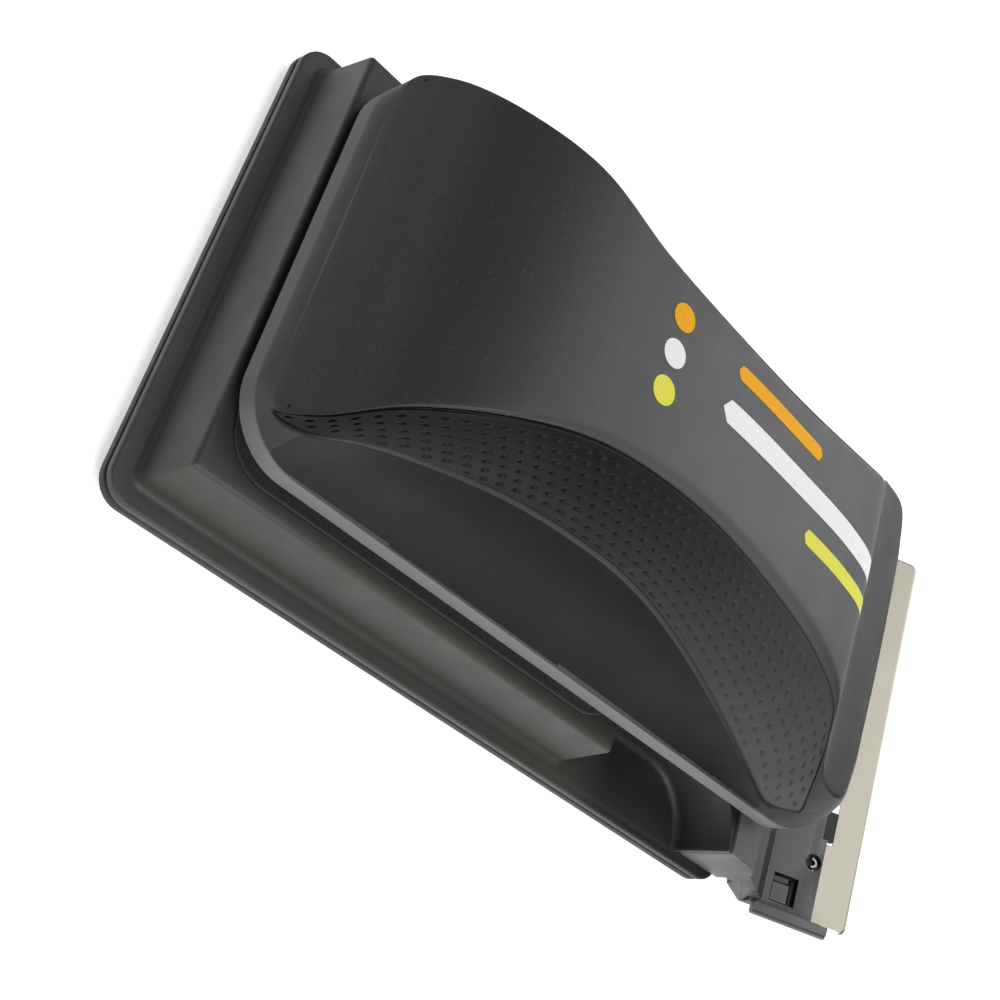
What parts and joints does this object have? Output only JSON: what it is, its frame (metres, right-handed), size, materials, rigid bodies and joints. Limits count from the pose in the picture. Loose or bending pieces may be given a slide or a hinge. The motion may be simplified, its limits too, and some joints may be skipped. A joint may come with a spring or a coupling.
{
  "type": "magnetic glass cleaner",
  "caption": "Two-part magnetic cleaner for aquarium glass: a waisted hand grip above a flat floating cleaner with a scrub pad and an angled steel scraper blade at one end.",
  "frame": {"origin": "centre of the bounding box's footprint, on the surface that the scrub pad rests on", "axes": "+X towards the blade end, +Z from the scrub pad up to the palm surface of the handle; the blade carrier's pull tab is on the -Y side"},
  "size_m": [0.1808, 0.0906, 0.0594],
  "materials": {
    "black_plastic": "satin, fine-grained",
    "base_plastic": "matte",
    "soft_grip": "soft-touch, dimpled",
    "felt": "short pile",
    "scrub": "loop pile",
    "foam": "closed-cell foam",
    "nickel": "nickel plated",
    "zinc": "zinc plated",
    "blade_steel": "fine brushed",
    "screw_steel": "plain"
  },
  "bodies": {
    "cleaner": {"housing_shell": "black_plastic", "base_plate": "base_plastic", "scrub_pad": "scrub", "glide_pad": "felt", "cleaner_yoke": "zinc", "cleaner_magnet_1": "nickel", "cleaner_magnet_2": "nickel", "float_foam_near": "foam", "float_foam_far": "foam", "float_foam_end": "foam", "blade_mount": "black_plastic", "cleaner_screw_1": "screw_steel", "cleaner_screw_2": "screw_steel", "cleaner_screw_3": "screw_steel", "cleaner_screw_4": "screw_steel"},
    "handle": {"handle_shell": "black_plastic", "grip_insert_near": "soft_grip", "grip_insert_far": "soft_grip", "handle_base": "base_plastic", "felt_pad": "felt", "magnet_tray": "base_plastic", "handle_magnet_1": "nickel", "handle_magnet_2": "nickel", "handle_yoke": "zinc", "handle_screw_1": "screw_steel", "handle_screw_2": "screw_steel", "handle_screw_3": "screw_steel", "handle_screw_4": "screw_steel"},
    "carrier": {"blade_carrier": "black_plastic", "blade": "blade_steel", "blade_pin_near": "screw_steel", "blade_pin_far": "screw_steel"},
    "latch": {"latch_tongue": "black_plastic"}
  },
  "joints": [
    {"name": "handle_lift", "type": "slide", "parent": "cleaner", "child": "handle", "axis": [0, 0, 1], "range_m": [0, 0.06]},
    {"name": "carrier_slide", "type": "slide", "parent": "cleaner", "child": "carrier", "axis": [0, -1, 0], "range_m": [0, 0.095]},
    {"name": "latch_press", "type": "hinge", "parent": "carrier", "child": "latch", "pos_m": [0.0758, -0.0365, 0.01048], "axis": [0.866, 0, 0.5], "range_deg": [0, 8], "stiffness_Nm_per_rad": 0.15}
  ]
}
